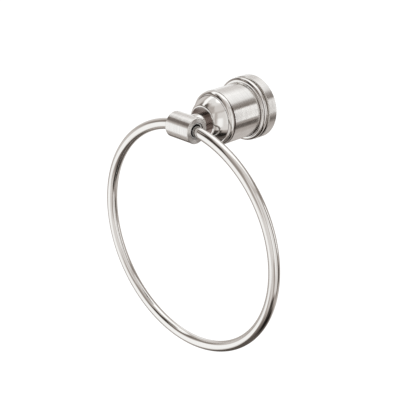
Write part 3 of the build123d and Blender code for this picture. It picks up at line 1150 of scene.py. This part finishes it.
def tent_light_group():
    """A soft-edged light or flag laid over what is already on the tent."""
    names = ("Azimuth", "Elevation", "Under", *TENT_SOCKETS)
    tree, given, out = new_group("Tent light", [(name, "NodeSocketFloat", 0.0) for name in names], ["Level"])
    half_turn = 180.0
    masks = []
    for here, middle, half in (
        ("Azimuth", "Light azimuth", "Half width"),
        ("Elevation", "Light elevation", "Half height"),
    ):
        offset = calc(tree, "SUBTRACT", given[here], given[middle])
        apart = calc(tree, "ABSOLUTE", calc(tree, "WRAP", offset, half_turn, -half_turn))
        inside = calc(tree, "SUBTRACT", given[half], apart)
        share = calc(tree, "DIVIDE", inside, given["Softness"])
        mask = add_node(
            tree, "ShaderNodeMapRange", {"Value": share, "From Min": -0.5, "From Max": 0.5},
            interpolation_type="SMOOTHSTEP",
        )
        masks.append(mask.outputs["Result"])
    both = calc(tree, "MULTIPLY", *masks)
    laid = add_node(tree, "ShaderNodeMix", {"Factor": both, "A": given["Under"], "B": given["Brightness"]})
    tree.links.new(laid.outputs["Result"], out["Level"])
    return tree


class TOWELRING_OT_studio(Operator):
    """Set the white studio: backdrop, light tent, floor and camera"""

    bl_idname = "towel_ring.studio"
    bl_label = "Studio"

    def execute(self, context):
        scene = context.scene
        s = scene.towel_ring.studio
        scene.view_settings.view_transform = "Standard"
        scene.world = bpy.data.worlds.new("white_studio")
        scene.world.use_nodes = True
        tree = scene.world.node_tree
        set_inputs(tree, tree.nodes["Background"], {"Color": (*s.white, 1), "Strength": 1.0})
        tent = self.add_stage("tent", *self.tent(s))
        tent.visible_camera = False
        tent.visible_diffuse = False
        tent.visible_shadow = False
        tent.visible_transmission = False
        self.add_stage("floor", *self.floor(s))
        self.add_camera(scene, s)
        return {"FINISHED"}

    def add_stage(self, name, points, normals, material):
        """Put a surface of the studio into the scene; its glow is seen but isn't sampled as a lamp."""
        material.cycles.emission_sampling = "NONE"
        patch = Patch(points, normals, np.zeros((*points.shape[:2], 2)), name)
        surface = add_object(name, build_mesh(name, [patch], {name: material}))
        return surface

    def tent(self, s):
        """Light tent that only reflections see: P(az, el) on a sphere round the object."""
        steps_round, steps_up = 96, 48
        across = np.linspace(-pi, pi, steps_round + 1)
        up = np.linspace(-pi / 2, pi / 2, steps_up + 1)[:, None]
        away = np.stack(
            np.broadcast_arrays(np.sin(across) * np.cos(up), -np.cos(across) * np.cos(up), np.sin(up)), -1
        )
        material = bpy.data.materials.new("tent_light")
        material.use_nodes = True
        tree = material.node_tree
        tree.nodes.clear()
        place = add_node(tree, "ShaderNodeTexCoord").outputs["Object"]
        bearing = place_group(tree, bearing_group(), {"Place": place})
        here = {"Azimuth": bearing["Azimuth"], "Elevation": bearing["Elevation"]}
        group = tent_light_group()
        level = TENT_BASE
        for name, *light in TENT_PLAN:
            given = {**here, "Under": level, **dict(zip(TENT_SOCKETS, light))}
            level = place_group(tree, group, given, label=name)["Level"]
        warmth = mixed(tree, level, (*s.shade, 1), (1, 1, 1, 1))
        glow = add_node(tree, "ShaderNodeEmission", {"Color": warmth, "Strength": level})
        add_node(tree, "ShaderNodeOutputMaterial", {"Surface": glow.outputs[0]})
        return s.tent_radius * away, -away, material

    def floor(self, s):
        """White floor far below the hoop, lit enough to meet the backdrop, with the shadow kept."""
        reach = s.floor_reach * np.array([-1, 1])
        x, y = np.meshgrid(reach, reach)
        points = np.stack((x, y, np.full_like(x, CAD_BOX[0].z - s.floor_drop)), -1)
        material, tree, shader = new_finish("floor_white")
        rays = add_node(tree, "ShaderNodeLightPath").outputs
        seen = calc(tree, "MAXIMUM", rays["Is Camera Ray"], rays["Is Glossy Ray"])
        seen = calc(tree, "MAXIMUM", seen, rays["Is Transmission Ray"])
        set_inputs(tree, shader, {
            "Base Color": (s.floor_grey, s.floor_grey, s.floor_grey, 1),
            "Roughness": 1.0,
            "Specular IOR Level": 0.0,
            "Emission Color": (*s.white, 1),
            "Emission Strength": calc(tree, "MULTIPLY", seen, s.floor_glow),
        })
        return points, np.broadcast_to([0.0, 0, 1], points.shape), material

    def add_camera(self, scene, s):
        """Camera at the photograph's angle."""
        data = bpy.data.cameras.new("camera")
        data.lens = s.lens
        data.sensor_width = s.sensor
        camera = add_object("camera", data)
        level = cos(s.elevation)
        back = Vector((sin(s.azimuth) * level, -cos(s.azimuth) * level, sin(s.elevation)))
        camera.location = s.camera_place
        camera.rotation_mode = "QUATERNION"
        camera.rotation_quaternion = (-back).to_track_quat("-Z", "Y")
        scene.camera = camera


STEPS = (
    TOWELRING_OT_hoop, TOWELRING_OT_flange, TOWELRING_OT_post, TOWELRING_OT_holder, TOWELRING_OT_bushes,
    TOWELRING_OT_fixings, TOWELRING_OT_studio,
)


class TOWELRING_PT_panel(Panel):
    """Sidebar panel with the sizes, the colours and the build steps"""

    bl_idname = "TOWELRING_PT_panel"
    bl_label = "Towel Ring"
    bl_space_type = "VIEW_3D"
    bl_region_type = "UI"
    bl_category = "Towel Ring"

    def draw(self, context):
        settings = context.scene.towel_ring
        self.layout.prop(settings, "steps_round")
        for title in ("hoop", "flange", "post", "holder", "bush", "finish", "studio"):
            group = getattr(settings, title)
            box = self.layout.box()
            box.label(text=title.capitalize())
            for name in group.__annotations__:
                box.prop(group, name)
        for step in STEPS:
            self.layout.operator(step.bl_idname)


CLASSES = (
    HoopSettings, FlangeSettings, PostSettings, HolderSettings, BushSettings, FinishSettings, StudioSettings,
    TowelRingSettings, *STEPS, TOWELRING_PT_panel,
)


def register():
    """Make the settings, the build steps and the panel known to Blender."""
    for cls in CLASSES:
        bpy.utils.register_class(cls)
    bpy.types.Scene.towel_ring = PointerProperty(type=TowelRingSettings, name="Towel ring")


def unregister():
    """Take them away again."""
    del bpy.types.Scene.towel_ring
    for cls in reversed(CLASSES):
        bpy.utils.unregister_class(cls)


def main():
    """Build every piece and the studio."""
    register()
    for step in STEPS:
        group, name = step.bl_idname.split(".")
        getattr(getattr(bpy.ops, group), name)()


if __name__ == "__main__":
    main()
